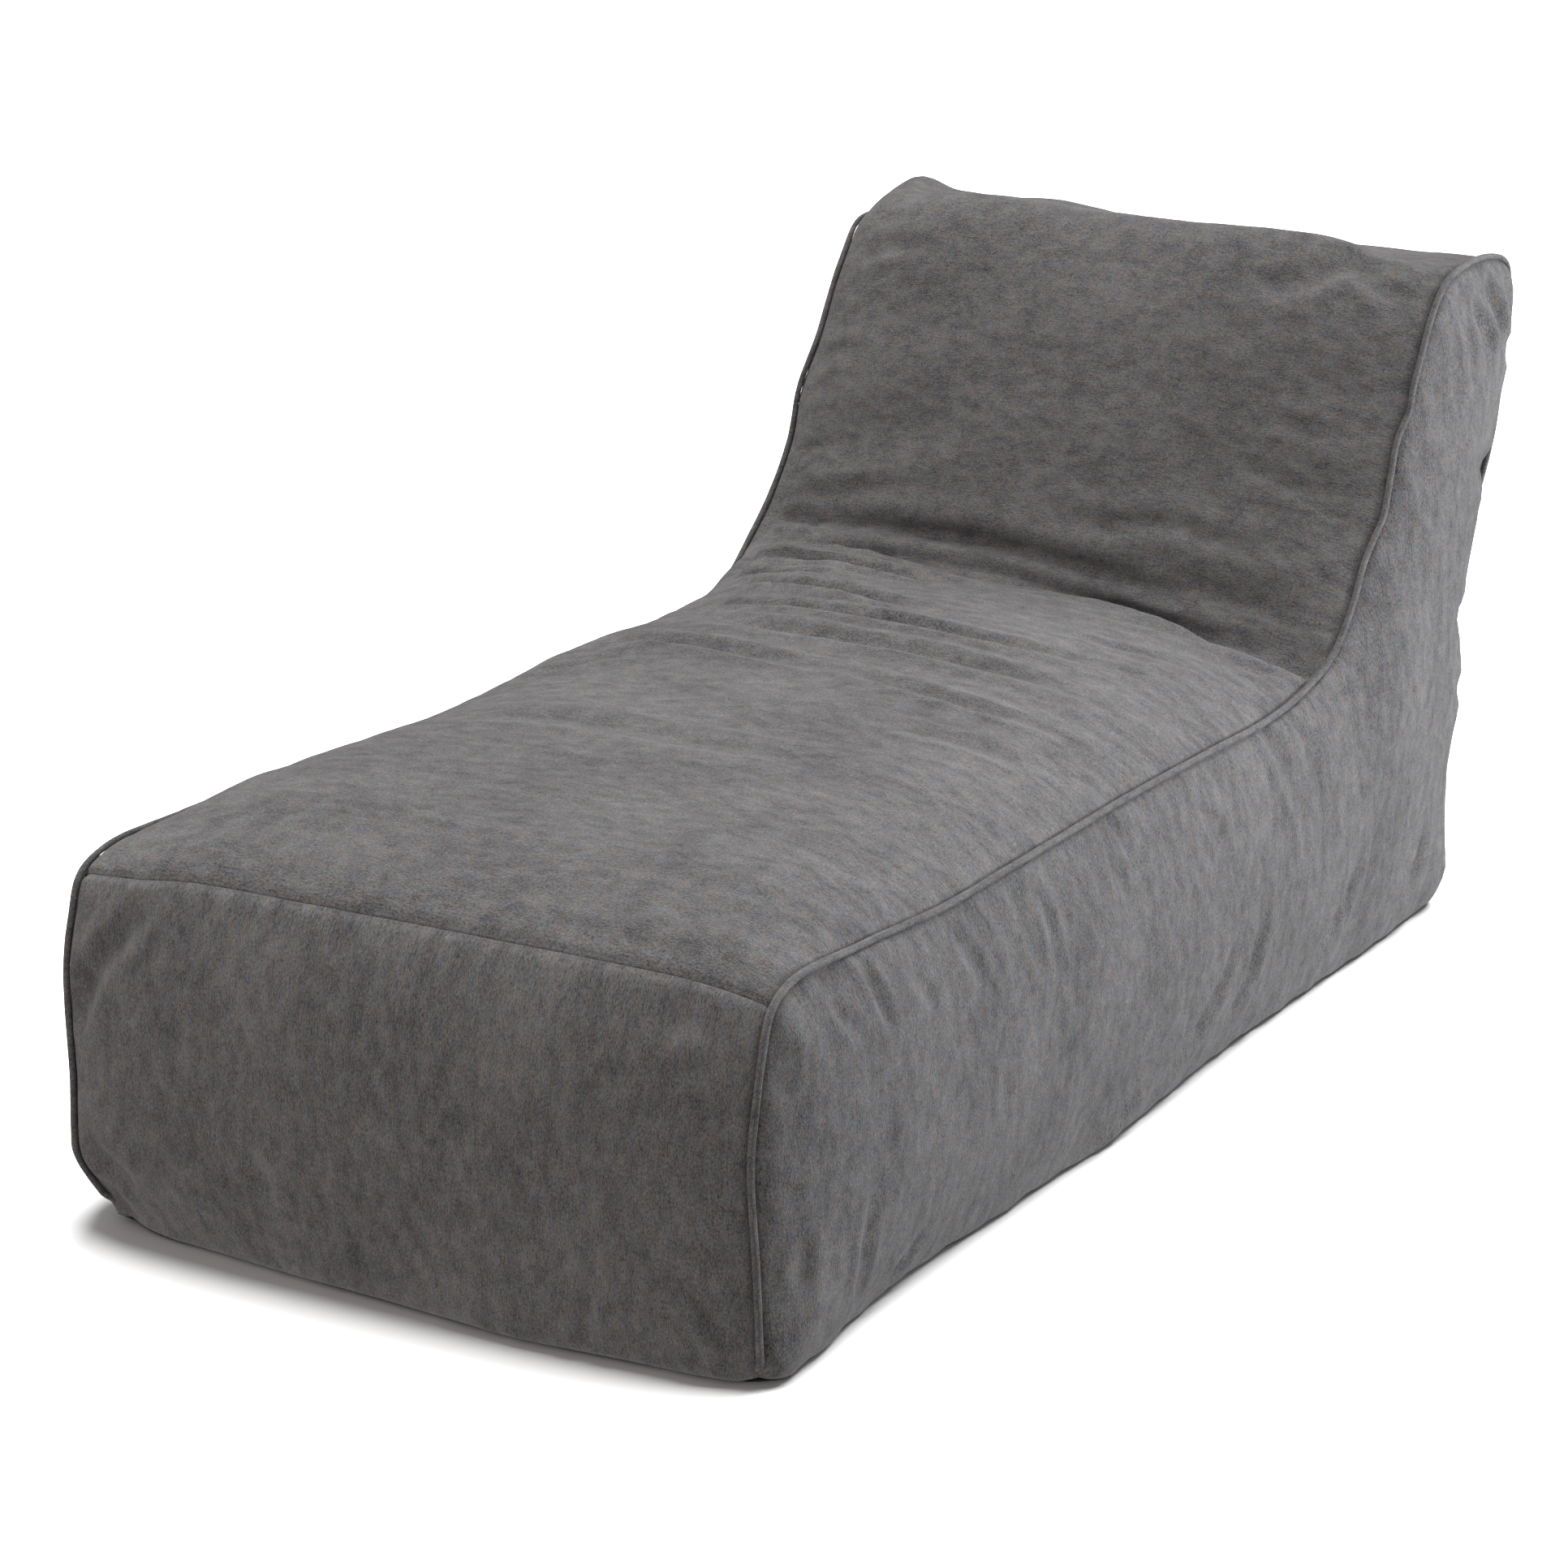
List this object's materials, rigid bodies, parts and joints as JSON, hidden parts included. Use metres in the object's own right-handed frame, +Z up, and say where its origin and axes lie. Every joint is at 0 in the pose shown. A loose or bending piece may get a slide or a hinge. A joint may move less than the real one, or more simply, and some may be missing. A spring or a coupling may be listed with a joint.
{
  "type": "bean bag chair",
  "caption": "Long low bean bag lounger with a raised leaning back, piped side seams and a removable zipped fabric cover.",
  "frame": {"origin": "under the middle of the whole object's box, on the floor", "axes": "+Z up, +Y from the foot end towards the back, +X to the sitter's left as they sit facing the foot end"},
  "size_m": [0.76, 1.7174, 0.7245],
  "materials": {
    "cover_fabric": "matte",
    "base_fabric": "matte",
    "piping_cord": "matte",
    "zip_tape": "matte",
    "zip_coil": "satin",
    "zip_metal": "satin",
    "liner_cloth": "matte",
    "bead_fill": "matte",
    "label_cloth": "matte"
  },
  "bodies": {
    "stuffed_body": {"front_panel": "cover_fabric", "seat_back_panel": "cover_fabric", "rear_panel": "cover_fabric", "rear_zip_facing": "cover_fabric", "side_panel_left": "cover_fabric", "side_panel_right": "cover_fabric", "piping_wrap_left": "cover_fabric", "piping_wrap_right": "cover_fabric", "base_panel": "base_fabric", "piping_cord_left": "piping_cord", "piping_cord_right": "piping_cord", "zip_tape_upper": "zip_tape", "zip_tape_lower": "zip_tape", "zip_coil_upper": "zip_coil", "zip_coil_lower": "zip_coil", "liner_zip_tape_upper": "zip_tape", "liner_zip_tape_lower": "zip_tape", "liner_zip_coil_upper": "zip_coil", "liner_zip_coil_lower": "zip_coil", "zip_end_stop_left": "zip_metal", "zip_end_stop_right": "zip_metal", "liner_bag": "liner_cloth", "seat_bead_fill": "bead_fill", "back_bead_fill": "bead_fill", "care_label": "label_cloth"},
    "zip_slider": {"zip_slider": "zip_metal"},
    "zip_pull_tab": {"zip_pull_tab": "zip_metal"},
    "liner_zip_slider": {"liner_zip_slider": "zip_metal"}
  },
  "joints": [
    {"name": "zip_slide", "type": "slide", "parent": "stuffed_body", "child": "zip_slider", "axis": [-1, 0, 0], "range_m": [0, 0.57]},
    {"name": "pull_tab_flip", "type": "hinge", "parent": "zip_slider", "child": "zip_pull_tab", "pos_m": [0.285, 0.68875, 0.035], "axis": [0, 0, -1], "range_deg": [0, 175]},
    {"name": "liner_zip_slide", "type": "slide", "parent": "stuffed_body", "child": "liner_zip_slider", "axis": [-1, 0, 0], "range_m": [0, 0.47]}
  ]
}
